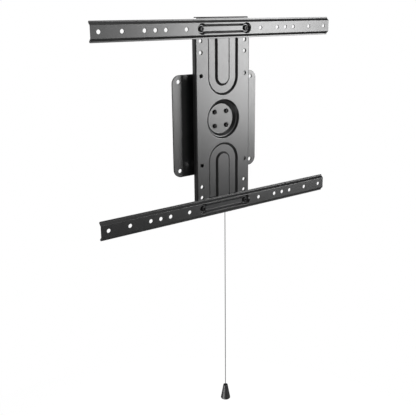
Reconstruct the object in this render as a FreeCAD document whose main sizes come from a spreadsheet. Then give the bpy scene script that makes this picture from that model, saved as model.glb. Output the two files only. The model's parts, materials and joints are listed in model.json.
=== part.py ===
import FreeCAD, Part
import math
import os
import re
import Sketcher
from FreeCAD import Placement, Rotation, Vector

# Rotating television wall mount, in millimetres.
# The origin is the centre of the four wall bolts, on the wall itself.
# X points right, Y points into the wall and Z points up.
# Distances from the wall are measured towards the viewer, along -Y.

DIMENSIONS = (
    ("wall_width", 232, "wall plate, width"),
    ("wall_height", 229, "wall plate, height"),
    ("wall_sheet", 3, "wall plate, thickness"),
    ("wall_corner", 19, "wall plate, corner radius"),
    ("wall_bolt_spacing", 200, "wall bolts, spacing both ways"),
    ("wall_bolt_hole", 9.5, "wall bolts, hole diameter"),
    ("pivot_height", 12, "turning axis above the centre of the wall bolts"),
    ("running_gap", 0.3, "gap between surfaces that move past each other"),
    ("fit_gap", 0.1, "gap around a shank or spigot in its hole"),
    ("flange_radius", 43, "hub, radius of the captured flange"),
    ("flange_thickness", 3.4, "hub, thickness of the captured flange"),
    ("boss_radius", 30, "hub, radius of the boss in front of the flange"),
    ("spigot_radius", 12, "hub, radius of the spigot that centres the turn disc"),
    ("spigot_recess", 1, "hub, how far the spigot ends short of the disc's front"),
    ("hub_bore_radius", 8, "hub, radius of the central bore"),
    ("rear_washer", 2, "rear bearing washer, thickness"),
    ("front_washer", 1, "front bearing washer, thickness"),
    ("washer_bore_radius", 12, "rear bearing washer, bore radius"),
    ("ring_radius", 56, "base ring and retaining ring, outer radius"),
    ("retainer_thickness", 3, "retaining ring, thickness"),
    ("ring_screw_circle", 49.6, "retaining ring screws, radius of their circle"),
    ("ring_screw_count", 4, "retaining ring screws, number"),
    ("ring_screw_radius", 2, "retaining ring screws, shank radius"),
    ("ring_screw_head", 4, "retaining ring screws, head radius"),
    ("ring_screw_length", 8.5, "retaining ring screws, length with the head"),
    ("stop_circle", 40, "stop pin, radius of its circle"),
    ("stop_radius", 3, "stop pin, radius"),
    ("stop_standout", 4.2, "stop pin, height above the retaining ring"),
    ("disc_radius", 50, "turn disc, radius"),
    ("disc_thickness", 5, "turn disc, thickness"),
    ("disc_gap", 0.6, "turn disc, gap to the retaining ring"),
    ("tongue_side_gap", 0.5, "lock tongue, gap each side in its notch"),
    ("hub_screw_offset", 16, "hub screws, distance from the axis each way"),
    ("hub_screw_radius", 3, "hub screws, shank radius"),
    ("hub_screw_length", 11.5, "hub screws, shank length"),
    ("hub_head_radius", 5.5, "hub screws, head radius"),
    ("hub_head_height", 3.8, "hub screws, head height"),
    ("hub_socket", 4, "hub screws, hexagon socket across flats"),
    ("face_width", 148, "face plate, width"),
    ("face_top", 225, "face plate, top edge above the axis"),
    ("face_bottom", 223, "face plate, bottom edge below the axis"),
    ("face_sheet", 2, "face plate, thickness"),
    ("face_flange", 12, "face plate, depth of the folded sides"),
    ("face_corner_notch", 5, "face plate, corner relief each way"),
    ("face_bend", 3, "face plate, outer bend radius"),
    ("face_hole", 9, "face plate, diameter of the rail holes"),
    ("dish_radius", 44, "dish, radius at the face"),
    ("dish_step_radius", 41.5, "dish, radius above the step"),
    ("dish_step_depth", 5, "dish, depth of the step"),
    ("dish_step_width", 2, "dish, width of the step"),
    ("dish_step_drop", 0.6, "dish, fall across the step"),
    ("dish_floor_radius", 34, "dish, radius of the floor"),
    ("dish_depth", 11.4, "dish, depth below the face"),
    ("dish_lip", 2, "dish, rounding of its rim"),
    ("bead_half_width", 41, "bead, half width at the face"),
    ("bead_depth", 3.5, "bead, depth"),
    ("bead_slope", 5, "bead, run of its slanted wall"),
    ("bead_arc_height", 95, "bead, height of the arch's centre above the axis"),
    ("bead_end", 205, "bead, height of its far end above the axis"),
    ("island_half_width", 15, "bead, half width of the flat raised inside it"),
    ("rail_length", 634, "rail, length"),
    ("rail_spacing", 400, "rails, spacing of their centre lines"),
    ("rail_sheet", 2, "rail, thickness"),
    ("rail_depth", 7.5, "rail, depth from face plate to front"),
    ("rail_web", 26.4, "rail, height of the flat front"),
    ("rail_wall_run", 4.6, "rail, run of its slanted wall"),
    ("rail_lip", 3.1, "rail, width of a lip"),
    ("rail_lip_chamfer", 1.2, "rail, chamfer of the lips' end corners"),
    ("rail_edge", 0.6, "rail, rounding of its bends"),
    ("rail_hole", 9, "rail, diameter of the screw holes"),
    ("pattern_a", 600, "screw holes, widest spacing"),
    ("pattern_b", 500, "screw holes, second spacing"),
    ("pattern_c", 400, "screw holes, third spacing"),
    ("pattern_d", 350, "screw holes, fourth spacing"),
    ("pattern_e", 300, "screw holes, fifth spacing"),
    ("pattern_f", 200, "screw holes, narrowest spacing"),
    ("pocket_radius", 12, "rail recess, radius of the round ends at the front"),
    ("pocket_slope", 3.6, "rail recess, run of the round ends' wall"),
    ("channel_half_width", 9.75, "rail recess, half width of the channel"),
    ("channel_slope", 4.85, "rail recess, run of the channel's wall"),
    ("rail_bolt_spacing", 120, "rail bolts, spacing"),
    ("rail_bolt_radius", 4, "rail bolts, shank radius"),
    ("rail_bolt_length", 12, "rail bolts, shank length"),
    ("bolt_head_radius", 6.75, "rail bolts, head radius"),
    ("bolt_head_height", 3.6, "rail bolts, head height"),
    ("bolt_socket", 5, "rail bolts, hexagon socket across flats"),
    ("socket_depth", 1.8, "hexagon sockets, depth"),
    ("nut_flats", 13, "rail nuts, size across flats"),
    ("nut_height", 6.5, "rail nuts, height"),
    ("upper_row", 350, "face plate, second rail position"),
    ("middle_row", 300, "face plate, third rail position"),
    ("inner_row", 200, "face plate, fourth rail position"),
    ("bracket_sheet", 2, "latch bracket, thickness"),
    ("bracket_half_width", 29, "latch bracket, half width over its legs"),
    ("bracket_foot", 15, "latch bracket, length of a foot"),
    ("bracket_ring_gap", 2, "latch bracket, gap below the retaining ring"),
    ("bracket_height", 42, "latch bracket, height"),
    ("bracket_bend", 2.4, "latch bracket, outer bend radius"),
    ("rivet_radius", 2.5, "rivets, shank radius"),
    ("rivet_head_radius", 4.5, "rivets, head radius"),
    ("rivet_head_height", 1.8, "rivets, head height"),
    ("rivet_edge", 12, "rivets, distance from the bracket's top and bottom edges"),
    ("slide_sheet", 2.5, "latch slide, thickness"),
    ("slide_half_width", 23, "latch slide, half width"),
    ("slide_travel", 8, "latch slide, travel"),
    ("shoulder_gap", 2, "latch slide, gap from its raised shoulders to the disc"),
    ("slide_ledge", 4, "latch slide, ledge below the keyhole"),
    ("slide_corner", 4, "latch slide, corner chamfer"),
    ("tongue_half_width", 6, "lock tongue, half width"),
    ("tongue_clear", 2.5, "lock tongue, gap to the disc when freed"),
    ("tongue_end_gap", 0.5, "lock tongue, gap to the notch's floor when locked"),
    ("upper_stud_inset", 14, "guide studs, upper one below the bracket's top"),
    ("lower_stud_inset", 6, "guide studs, lower one above the bracket's bottom"),
    ("stud_radius", 3, "guide studs, shoulder radius"),
    ("stud_spigot_radius", 2, "guide studs, spigot radius"),
    ("stud_head_radius", 5, "guide studs, head radius"),
    ("stud_head_height", 1.8, "guide studs, head height"),
    ("spring_offset", 16, "spring, distance left of the axis"),
    ("spring_radius", 1.85, "spring, mean radius of its coils"),
    ("spring_wire", 0.4, "spring, half thickness of its wire"),
    ("spring_pitch", 3.6, "spring, pitch of its coils when stretched"),
    ("spring_window", 3, "spring, half width of its windows"),
    ("anchor_inset", 10, "spring, anchor pin below the bracket's top"),
    ("anchor_room", 3.5, "latch slide, window above the anchor pin when freed"),
    ("anchor_radius", 1.3, "spring, anchor pin radius"),
    ("anchor_collar_radius", 2.6, "spring, anchor pin collar radius"),
    ("anchor_collar_height", 0.8, "spring, anchor pin collar height"),
    ("hook_rise", 11, "spring, centre of its lower loop above the slide's bottom edge"),
    ("hook_bar", 1.6, "latch slide, bar that the lower loop goes round"),
    ("hook_loop", 2.3, "spring, mean radius of its lower loop"),
    ("hook_hole_radius", 1.3, "latch slide, radius of the spring's hole"),
    ("cord_offset", 16, "cord, distance right of the axis"),
    ("cord_radius", 0.9, "cord, radius"),
    ("keyhole_play", 4, "latch slide, keyhole height beyond the nipple's"),
    ("nipple_gap", 2, "cord nipple, gap below the bracket when locked"),
    ("nipple_radius", 2.5, "cord nipple, radius"),
    ("nipple_height", 6, "cord nipple, height"),
    ("knob_top", 681, "knob, top below the wall bolts' centre"),
    ("knob_height", 37, "knob, height"),
    ("knob_top_radius", 5.2, "knob, radius at the top"),
    ("knob_bottom_radius", 12, "knob, radius at the bottom"),
    ("knob_wall", 2, "knob, wall thickness"),
    ("knob_crown", 7, "knob, thickness of its top"),
    ("knob_edge", 1.2, "knob, bevel of its edges"),
    ("knot_radius", 2.6, "knot, radius"),
    ("knot_height", 4.4, "knot, height"),
)

doc = FreeCAD.newDocument("television_wall_mount")
sheet = doc.addObject("Spreadsheet::Sheet", "dims")
for row, (name, number, meaning) in enumerate(DIMENSIONS, start=1):
    sheet.set(f"A{row}", meaning)
    sheet.set(f"B{row}", str(number))
    sheet.setAlias(f"B{row}", name)
doc.recompute()
ALIASES = {name for name, number, meaning in DIMENSIONS}

# Distances from the wall to each seat, as formulas of the sheet's names
RING_SEAT = "wall_sheet"
HUB_SEAT = "wall_sheet + rear_washer + running_gap"
FRONT_WASHER_SEAT = f"{HUB_SEAT} + flange_thickness + running_gap"
RETAINER_SEAT = f"{FRONT_WASHER_SEAT} + front_washer"
DISC_SEAT = f"{RETAINER_SEAT} + retainer_thickness + disc_gap"
DISH_SEAT = f"{DISC_SEAT} + disc_thickness"
DISH_FLOOR = f"{DISH_SEAT} + face_sheet"
FACE_FRONT = f"{DISH_FLOOR} + dish_depth"
TABLE = f"{DISC_SEAT} - running_gap"
SLIDE_SEAT = DISC_SEAT
CORD_LINE = f"{SLIDE_SEAT} + slide_sheet / 2"
BASE_RING_HEIGHT = "rear_washer + flange_thickness + front_washer + 2 * running_gap"
BOSS_LENGTH = "running_gap + front_washer + retainer_thickness + disc_gap"

# Heights of the lock's pieces, measured down from the turning axis, when the cord is pulled
NOTCH_FLOOR = "disc_radius - (slide_travel - tongue_clear + tongue_end_gap)"
TONGUE_TIP = "disc_radius + tongue_clear"
SLIDE_TOP = "disc_radius + slide_travel + shoulder_gap"
BRACKET_TOP = "ring_radius + bracket_ring_gap"
BRACKET_BOTTOM = f"{BRACKET_TOP} + bracket_height"
STUD_UPPER = f"{BRACKET_TOP} + upper_stud_inset"
STUD_LOWER = f"{BRACKET_BOTTOM} - lower_stud_inset"
ANCHOR_DROP = f"{BRACKET_TOP} + anchor_inset"
KEYHOLE_BOTTOM = f"{BRACKET_BOTTOM} + nipple_gap + nipple_height + slide_travel"
KEYHOLE_TOP = f"{KEYHOLE_BOTTOM} - nipple_height - keyhole_play"
SLIDE_BOTTOM = f"{KEYHOLE_BOTTOM} + slide_ledge"
HOOK_DROP = f"{SLIDE_BOTTOM} - hook_rise"
CORD_TOP = f"{KEYHOLE_BOTTOM} - pivot_height - running_gap"


def formula(text):
    """Write a size the way the document's own expressions read the sheet."""
    def link(found):
        word = found.group()
        return f"dims.{word}" if word in ALIASES else word
    return re.sub(r"[a-z][a-z_]*", link, text)


def value(text):
    """Work a size out as a number."""
    return float(sheet.evalExpression(formula(text)))


def bind(item, field, text):
    item.setExpression(field, formula(text))


def new_body(label, x="0", away="0", height="0"):
    """Start a sub-part at a place: right of the origin, away from the wall, up."""
    body = doc.addObject("PartDesign::Body", label)
    body.Label = label
    bind(body, "Placement.Base.x", x)
    bind(body, "Placement.Base.y", f"-({away})")
    bind(body, "Placement.Base.z", height)
    return body


def origin_item(body, role):
    return next(item for item in body.Origin.OriginFeatures if item.Role == role)


def new_sketch(body, name, plane, shift=("0", "0", "0")):
    """Attach a sketch to one of the body's own origin planes, shifted in its axes."""
    sketch = body.newObject("Sketcher::SketchObject", name)
    sketch.AttachmentSupport = (origin_item(body, plane), [""])
    sketch.MapMode = "FlatFace"
    for axis, text in zip("xyz", shift):
        bind(sketch, f"AttachmentOffset.Base.{axis}", text)
    return sketch


def hold(sketch, points):
    """Fix points, each a (curve, end, x, y), at sizes from the sheet."""
    for curve, end, x, y in points:
        for kind, axis, text in (("DistanceX", -2, x), ("DistanceY", -1, y)):
            if text == "0":
                sketch.addConstraint(Sketcher.Constraint("PointOnObject", curve, end, axis))
                continue
            rule = Sketcher.Constraint(kind, -1, 1, curve, end, value(text))
            index = sketch.addConstraint(rule)
            bind(sketch, f"Constraints[{index}]", text)


def join(sketch, pairs):
    """Close a loop: each pair is a curve's end and the next curve's start."""
    rules = [Sketcher.Constraint("Coincident", *first, *second) for first, second in pairs]
    sketch.addConstraint(rules)


def spot(x, y):
    return Vector(value(x), value(y), 0)


def polygon(sketch, corners):
    """Draw a closed outline through corners given as (x, y) sizes."""
    count = len(corners)
    first = sketch.GeometryCount
    for index, corner in enumerate(corners):
        following = corners[(index + 1) % count]
        sketch.addGeometry(Part.LineSegment(spot(*corner), spot(*following)), False)
    join(sketch, [((first + i, 2), (first + (i + 1) % count, 1)) for i in range(count)])
    hold(sketch, [(first + i, 1, *corner) for i, corner in enumerate(corners)])


def rectangle(sketch, left, bottom, right, top):
    polygon(sketch, [(left, bottom), (right, bottom), (right, top), (left, top)])


def circle(sketch, x, y, diameter):
    ring = Part.Circle(spot(x, y), Vector(0, 0, 1), value(diameter) / 2)
    curve = sketch.addGeometry(ring, False)
    hold(sketch, [(curve, 3, x, y)])
    index = sketch.addConstraint(Sketcher.Constraint("Diameter", curve, value(diameter)))
    bind(sketch, f"Constraints[{index}]", diameter)


def hexagon(sketch, flats):
    corner = f"{flats} / sqrt(3)"
    side = f"{corner} / 2"
    half = f"{flats} / 2"
    polygon(sketch, [
        (corner, "0"), (side, half), (f"-{side}", half),
        (f"-{corner}", "0"), (f"-{side}", f"-{half}"), (side, f"-{half}"),
    ])


def arc(sketch, x, y, radius, start, end):
    """Draw an arc between two angles in degrees."""
    whole = Part.Circle(spot(x, y), Vector(0, 0, 1), value(radius))
    part = Part.ArcOfCircle(whole, math.radians(start), math.radians(end))
    return sketch.addGeometry(part, False)


def line(sketch, start, end):
    return sketch.addGeometry(Part.LineSegment(spot(*start), spot(*end)), False)


def centre_height(sketch, curve, y):
    index = sketch.addConstraint(Sketcher.Constraint("DistanceY", -1, 1, curve, 3, value(y)))
    bind(sketch, f"Constraints[{index}]", y)


def arch(sketch, half_width, arc_height, far_end):
    """Draw an upright arch whose round end points down."""
    left = f"-({half_width})"
    right = half_width
    side_a = line(sketch, (left, far_end), (left, arc_height))
    bow = arc(sketch, "0", arc_height, half_width, 180, 360)
    side_b = line(sketch, (right, arc_height), (right, far_end))
    close = line(sketch, (right, far_end), (left, far_end))
    join(sketch, [
        ((side_a, 2), (bow, 1)), ((bow, 2), (side_b, 1)),
        ((side_b, 2), (close, 1)), ((close, 2), (side_a, 1)),
    ])
    hold(sketch, [
        (side_a, 1, left, far_end), (side_a, 2, left, arc_height),
        (side_b, 1, right, arc_height), (side_b, 2, right, far_end),
    ])
    centre_height(sketch, bow, arc_height)


def upright_slot(sketch, low, high, radius):
    """Draw a slot on the sketch's upright axis between two end centres."""
    left = f"-({radius})"
    side_a = line(sketch, (left, high), (left, low))
    foot = arc(sketch, "0", low, radius, 180, 360)
    side_b = line(sketch, (radius, low), (radius, high))
    head = arc(sketch, "0", high, radius, 0, 180)
    join(sketch, [
        ((side_a, 2), (foot, 1)), ((foot, 2), (side_b, 1)),
        ((side_b, 2), (head, 1)), ((head, 2), (side_a, 1)),
    ])
    hold(sketch, [
        (side_a, 1, left, high), (side_a, 2, left, low),
        (side_b, 1, radius, low), (side_b, 2, radius, high),
    ])
    centre_height(sketch, foot, low)
    centre_height(sketch, head, high)


def quarter_slot(sketch, middle, half_width):
    """Draw a slot round the origin, from the top to the left, with round ends."""
    outer = f"{middle} + {half_width}"
    inner = f"{middle} - ({half_width})"
    rim = arc(sketch, "0", "0", outer, 90, 180)
    left_cap = arc(sketch, f"-({middle})", "0", half_width, 180, 360)
    waist = arc(sketch, "0", "0", inner, 90, 180)
    top_cap = arc(sketch, "0", middle, half_width, 270, 450)
    join(sketch, [
        ((rim, 2), (left_cap, 1)), ((left_cap, 2), (waist, 2)),
        ((waist, 1), (top_cap, 1)), ((top_cap, 2), (rim, 1)),
    ])
    hold(sketch, [
        (rim, 1, "0", outer), (rim, 2, f"-({outer})", "0"),
        (waist, 1, "0", inner), (waist, 2, f"-({inner})", "0"),
    ])
    for curve, axis in ((rim, -1), (waist, -1), (left_cap, -1), (top_cap, -2)):
        sketch.addConstraint(Sketcher.Constraint("PointOnObject", curve, 3, axis))


def settle(body, feature, grows):
    """Recompute a new feature and make sure that it changed the solid the right way."""
    before = 0 if body.Shape.isNull() else body.Shape.Volume
    body.Tip = feature
    doc.recompute()
    if "Invalid" in feature.State or "Error" in feature.State:
        raise RuntimeError(f"{body.Label}: {feature.Name} failed")
    change = body.Shape.Volume - before
    if (change > 0) != grows:
        raise RuntimeError(f"{body.Label}: {feature.Name} changed the volume by {change:.3f}")
    return feature


def pad(body, sketch, length, towards_wall=False, both_ways=False):
    feature = body.newObject("PartDesign::Pad", f"{sketch.Name}_pad")
    feature.Profile = sketch
    bind(feature, "Length", length)
    feature.Reversed = towards_wall
    if both_ways:
        feature.SideType = "Symmetric"
    return settle(body, feature, grows=True)


def pocket(body, sketch, depth, away_from_wall=False):
    feature = body.newObject("PartDesign::Pocket", f"{sketch.Name}_pocket")
    feature.Profile = sketch
    bind(feature, "Length", depth)
    feature.Reversed = away_from_wall
    return settle(body, feature, grows=False)


def cut_through(body, sketch):
    feature = body.newObject("PartDesign::Pocket", f"{sketch.Name}_cut")
    feature.Profile = sketch
    feature.Type = "ThroughAll"
    feature.SideType = "Symmetric"
    return settle(body, feature, grows=False)


def turn(body, sketch, cut=False):
    """Turn a profile about its own upright axis, as added or removed material."""
    kind = "PartDesign::Groove" if cut else "PartDesign::Revolution"
    feature = body.newObject(kind, f"{sketch.Name}_turned")
    feature.Profile = sketch
    feature.ReferenceAxis = (sketch, ["V_Axis"])
    feature.Angle = 360
    return settle(body, feature, grows=not cut)


def turned(body, name, profile, shift=("0", "0", "0"), cut=False):
    """Turn a profile of (radius, distance away from the wall) sizes about a Y axis."""
    sketch = new_sketch(body, name, "XY_Plane", shift)
    polygon(sketch, [(radius, "0" if away == "0" else f"-({away})") for radius, away in profile])
    return turn(body, sketch, cut)


def loft(body, first, second, cut=False):
    kind = "PartDesign::SubtractiveLoft" if cut else "PartDesign::AdditiveLoft"
    feature = body.newObject(kind, f"{first.Name}_loft")
    feature.Profile = first
    feature.Sections = [second]
    return settle(body, feature, grows=not cut)


def repeat_round(body, features, count, grows):
    """Repeat features round the body's Y axis."""
    feature = body.newObject("PartDesign::PolarPattern", f"{features[0].Name}_round")
    feature.Originals = features
    feature.Axis = (origin_item(body, "Y_Axis"), [""])
    feature.Angle = 360
    bind(feature, "Occurrences", count)
    return settle(body, feature, grows)


def mirror(body, features, plane, grows):
    feature = body.newObject("PartDesign::Mirrored", f"{features[0].Name}_mirror")
    feature.Originals = features
    feature.MirrorPlane = (origin_item(body, plane), [""])
    return settle(body, feature, grows)


def edge_names(feature, test):
    return [f"Edge{number}" for number, edge in enumerate(feature.Shape.Edges, start=1) if test(edge)]


def dress(body, kind, field, size, test):
    """Round or chamfer the edges of the body's last feature that pass a test."""
    last = body.Tip
    names = edge_names(last, test)
    if not names:
        raise RuntimeError(f"{body.Label}: no edge to dress on {last.Name}")
    feature = body.newObject(kind, f"{last.Name}_{field}")
    feature.Base = (last, names)
    bind(feature, field, size)
    body.Tip = feature
    doc.recompute()
    return feature


def fillet(body, size, test):
    return dress(body, "PartDesign::Fillet", "Radius", size, test)


def chamfer(body, size, test):
    return dress(body, "PartDesign::Chamfer", "Size", size, test)


def close_to(number, text):
    return abs(number - value(text)) < 1e-4


def runs_along(edge, axis):
    """Say whether a straight edge runs along an axis given as a Vector."""
    if edge.Curve.TypeId != "Part::GeomLine":
        return False
    return abs(abs(edge.tangentAt(edge.FirstParameter).dot(axis)) - 1) < 1e-6


def is_circle(edge, away):
    """Say whether an edge is a whole circle at a distance away from the body's seat."""
    if edge.Curve.TypeId != "Part::GeomCircle":
        return False
    return close_to(-edge.CenterOfMass.y, away) and edge.isClosed()


def has_radius(edge, text):
    return abs(edge.Curve.Radius - value(text)) < 1e-4


ALONG_X = Vector(1, 0, 0)
ALONG_Y = Vector(0, 1, 0)
ALONG_Z = Vector(0, 0, 1)


def far_side_shift(sheet_name, depth, run):
    """How far a folded sheet's far side lies from its near side at a slanted wall."""
    return f"{sheet_name} * tan(atan(({depth}) / ({run})) / 2)"


def wall_plate():
    body = new_body("wall_plate")
    outline = new_sketch(body, "wall_outline", "XZ_Plane")
    rectangle(outline, "-wall_width / 2", "-wall_height / 2", "wall_width / 2", "wall_height / 2")
    pad(body, outline, "wall_sheet")
    fillet(body, "wall_corner", lambda edge: runs_along(edge, ALONG_Y))
    holes = new_sketch(body, "wall_bolt_holes", "XZ_Plane")
    for x in ("-wall_bolt_spacing / 2", "wall_bolt_spacing / 2"):
        for y in ("-wall_bolt_spacing / 2", "wall_bolt_spacing / 2"):
            circle(holes, x, y, "wall_bolt_hole")
    cut_through(body, holes)
    rivet_holes = new_sketch(body, "wall_rivet_holes", "XZ_Plane", ("0", "pivot_height", "0"))
    for x, y in rivet_places():
        circle(rivet_holes, x, y, "2 * (rivet_radius + fit_gap)")
    cut_through(body, rivet_holes)
    return body


def rivet_places():
    """The four rivets of the latch bracket, measured from the turning axis."""
    across = "bracket_half_width + bracket_foot / 2"
    heights = (f"-({BRACKET_TOP} + rivet_edge)", f"-({BRACKET_BOTTOM} - rivet_edge)")
    return [(x, y) for x in (f"-({across})", across) for y in heights]


def pivot_base_ring():
    body = new_body("pivot_base_ring", away=RING_SEAT, height="pivot_height")
    bore = "flange_radius + running_gap"
    turned(body, "base_ring", [
        (bore, "0"), ("ring_radius", "0"),
        ("ring_radius", BASE_RING_HEIGHT), (bore, BASE_RING_HEIGHT),
    ])
    hole = new_sketch(body, "base_ring_hole", "XZ_Plane", ("0", "0", BASE_RING_HEIGHT))
    circle(hole, "ring_screw_circle", "0", "2 * (ring_screw_radius + fit_gap)")
    depth = "ring_screw_length - retainer_thickness + running_gap"
    repeat_round(body, [pocket(body, hole, depth)], "ring_screw_count", grows=False)
    return body


def rear_bearing_washer():
    body = new_body("rear_bearing_washer", away=RING_SEAT, height="pivot_height")
    rim = "flange_radius - running_gap"
    turned(body, "rear_washer_profile", [
        ("washer_bore_radius", "0"), (rim, "0"),
        (rim, "rear_washer"), ("washer_bore_radius", "rear_washer"),
    ])
    return body


def front_bearing_washer():
    body = new_body("front_bearing_washer", away=FRONT_WASHER_SEAT, height="pivot_height")
    bore = "boss_radius + running_gap"
    turned(body, "front_washer_profile", [
        (bore, "0"), ("flange_radius", "0"),
        ("flange_radius", "front_washer"), (bore, "front_washer"),
    ])
    return body


def retaining_ring():
    body = new_body("retaining_ring", away=RETAINER_SEAT, height="pivot_height")
    bore = "boss_radius + running_gap"
    turned(body, "retainer_profile", [
        (bore, "0"), ("ring_radius", "0"),
        ("ring_radius", "retainer_thickness"), (bore, "retainer_thickness"),
    ])
    seat = turned(body, "retainer_screw_seat", [
        ("0", "0"), ("ring_screw_radius + fit_gap", "0"),
        ("ring_screw_radius + fit_gap", "retainer_thickness - ring_screw_head + ring_screw_radius"),
        ("ring_screw_head + fit_gap", "retainer_thickness"), ("0", "retainer_thickness"),
    ], ("ring_screw_circle", "0", "0"), cut=True)
    repeat_round(body, [seat], "ring_screw_count", grows=False)
    pin_hole = new_sketch(body, "retainer_pin_hole", "XZ_Plane")
    circle(pin_hole, "0", "stop_circle", "2 * (stop_radius + fit_gap)")
    cut_through(body, pin_hole)
    return body


def retaining_ring_screws():
    seat = f"{RETAINER_SEAT} + retainer_thickness"
    body = new_body("retaining_ring_screws", away=seat, height="pivot_height")
    screw = turned(body, "ring_screw", [
        ("0", "0"), ("ring_screw_head", "0"),
        ("ring_screw_radius", "ring_screw_radius - ring_screw_head"),
        ("ring_screw_radius", "-ring_screw_length"), ("0", "-ring_screw_length"),
    ], ("ring_screw_circle", "0", "0"))
    repeat_round(body, [screw], "ring_screw_count", grows=True)
    return body


def rotation_stop_pin():
    """The pin fills its hole in the ring and stands out into the disc's slot."""
    body = new_body("rotation_stop_pin", away=RETAINER_SEAT, height="pivot_height")
    tip = "retainer_thickness + stop_standout"
    turned(body, "stop_pin", [
        ("0", "fit_gap"), ("stop_radius", "fit_gap"), ("stop_radius", tip), ("0", tip),
    ], ("0", "0", "stop_circle"))
    return body


def latch_bracket():
    """A folded sheet: a table on two legs, with feet on the wall plate."""
    body = new_body("latch_bracket", away="wall_sheet", height="pivot_height")
    toe = "bracket_half_width + bracket_foot"
    leg_inside = "bracket_half_width - bracket_sheet"
    table = f"{TABLE} - wall_sheet"
    underside = f"{table} - bracket_sheet"
    half = [
        (toe, "0"), (toe, "bracket_sheet"), ("bracket_half_width", "bracket_sheet"),
        ("bracket_half_width", table),
    ]
    inner_half = [(leg_inside, underside), (leg_inside, "0")]
    right = [(x, away) for x, away in half]
    left = [(f"-({x})", away) for x, away in reversed(half)]
    inner_left = [(f"-({x})", away) for x, away in reversed(inner_half)]
    section = new_sketch(body, "bracket_section", "XY_Plane", ("0", "0", f"-({BRACKET_BOTTOM})"))
    outline = right + left + inner_left + inner_half
    polygon(section, [(x, "0" if away == "0" else f"-({away})") for x, away in outline])
    pad(body, section, "bracket_height")
    fillet(body, "bracket_bend", lambda edge: runs_along(edge, ALONG_Z)
           and close_to(-edge.CenterOfMass.y, table))
    fillet(body, "bracket_bend - bracket_sheet", lambda edge: runs_along(edge, ALONG_Z)
           and close_to(-edge.CenterOfMass.y, underside))
    window = new_sketch(body, "bracket_window", "XZ_Plane")
    rectangle(window, "-(spring_offset + spring_window)", f"-({BRACKET_BOTTOM} + 1)",
              "-(spring_offset - spring_window)", f"-({ANCHOR_DROP} + spring_window)")
    cut_through(body, window)
    holes = new_sketch(body, "bracket_holes", "XZ_Plane")
    for x, y in rivet_places():
        circle(holes, x, y, "2 * (rivet_radius + fit_gap)")
    for drop in (STUD_UPPER, STUD_LOWER):
        circle(holes, "0", f"-({drop})", "2 * (stud_spigot_radius + fit_gap)")
    circle(holes, "-spring_offset", f"-({ANCHOR_DROP})", "2 * (anchor_radius + fit_gap)")
    cut_through(body, holes)
    return body


def latch_bracket_rivets():
    """Four rivets whose tails are flush with the wall plate's back."""
    seat = "wall_sheet + bracket_sheet"
    body = new_body("latch_bracket_rivets", away=seat, height="pivot_height")
    for number, (x, y) in enumerate(rivet_places(), start=1):
        turned(body, f"rivet_{number}", [
            ("0", f"-({seat})"), ("rivet_radius", f"-({seat})"), ("rivet_radius", "0"),
            ("rivet_head_radius", "0"), ("rivet_head_radius / 2", "rivet_head_height"),
            ("0", "rivet_head_height"),
        ], (x, "0", y))
    return body


def latch_guide_studs():
    body = new_body("latch_guide_studs", away=TABLE, height="pivot_height")
    shoulder = "slide_sheet + 2 * running_gap"
    top = f"{shoulder} + stud_head_height"
    for name, drop in (("upper_stud", STUD_UPPER), ("lower_stud", STUD_LOWER)):
        turned(body, name, [
            ("0", "-bracket_sheet"), ("stud_spigot_radius", "-bracket_sheet"),
            ("stud_spigot_radius", "0"), ("stud_radius", "0"), ("stud_radius", shoulder),
            ("stud_head_radius", shoulder), ("stud_head_radius", top), ("0", top),
        ], ("0", "0", f"-({drop})"))
    return body


def spring_anchor_pin():
    """A spigot in the bracket, a groove for the spring's loop and a collar."""
    body = new_body("spring_anchor_pin", away=TABLE, height="pivot_height")
    groove_end = "running_gap + slide_sheet / 2 + spring_wire + running_gap"
    tip = f"{groove_end} + anchor_collar_height"
    turned(body, "anchor_profile", [
        ("0", "-bracket_sheet"), ("anchor_radius", "-bracket_sheet"),
        ("anchor_radius", groove_end), ("anchor_collar_radius", groove_end),
        ("anchor_collar_radius", tip), ("0", tip),
    ], ("-spring_offset", "0", f"-({ANCHOR_DROP})"))
    return body


def latch_slide():
    """The stamped slide, drawn where the pulled cord holds it, free of the disc."""
    body = new_body("latch_slide", away=SLIDE_SEAT, height="pivot_height")
    outline = new_sketch(body, "slide_outline", "XZ_Plane")
    shoulders = f"-({SLIDE_TOP})"
    bottom = f"-({SLIDE_BOTTOM})"
    tip = f"-({TONGUE_TIP})"
    polygon(outline, [
        ("-tongue_half_width", shoulders), ("-slide_half_width", shoulders),
        ("-slide_half_width", bottom), ("slide_half_width", bottom),
        ("slide_half_width", shoulders), ("tongue_half_width", shoulders),
        ("tongue_half_width", tip), ("-tongue_half_width", tip),
    ])
    pad(body, outline, "slide_sheet")
    chamfer(body, "slide_corner", lambda edge: runs_along(edge, ALONG_Y)
            and close_to(abs(edge.CenterOfMass.x), "slide_half_width"))
    guide_slots(body)
    windows = new_sketch(body, "slide_windows", "XZ_Plane")
    rectangle(windows, "-(spring_offset + spring_window)", f"-({HOOK_DROP} - hook_bar / 2)",
              "-(spring_offset - spring_window)", f"-({ANCHOR_DROP} - anchor_room)")
    half_key = "(nipple_radius + running_gap)"
    half_slot = "(cord_radius + running_gap)"
    mouth = f"-({SLIDE_BOTTOM} + 1)"
    ledge = f"-({KEYHOLE_BOTTOM})"
    top = f"-({KEYHOLE_TOP})"
    polygon(windows, [
        (f"cord_offset - {half_slot}", mouth), (f"cord_offset + {half_slot}", mouth),
        (f"cord_offset + {half_slot}", ledge), (f"cord_offset + {half_key}", ledge),
        (f"cord_offset + {half_key}", top), (f"cord_offset - {half_key}", top),
        (f"cord_offset - {half_key}", ledge), (f"cord_offset - {half_slot}", ledge),
    ])
    circle(windows, "-spring_offset", f"-({HOOK_DROP} + hook_loop)", "2 * hook_hole_radius")
    cut_through(body, windows)
    return body


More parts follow.
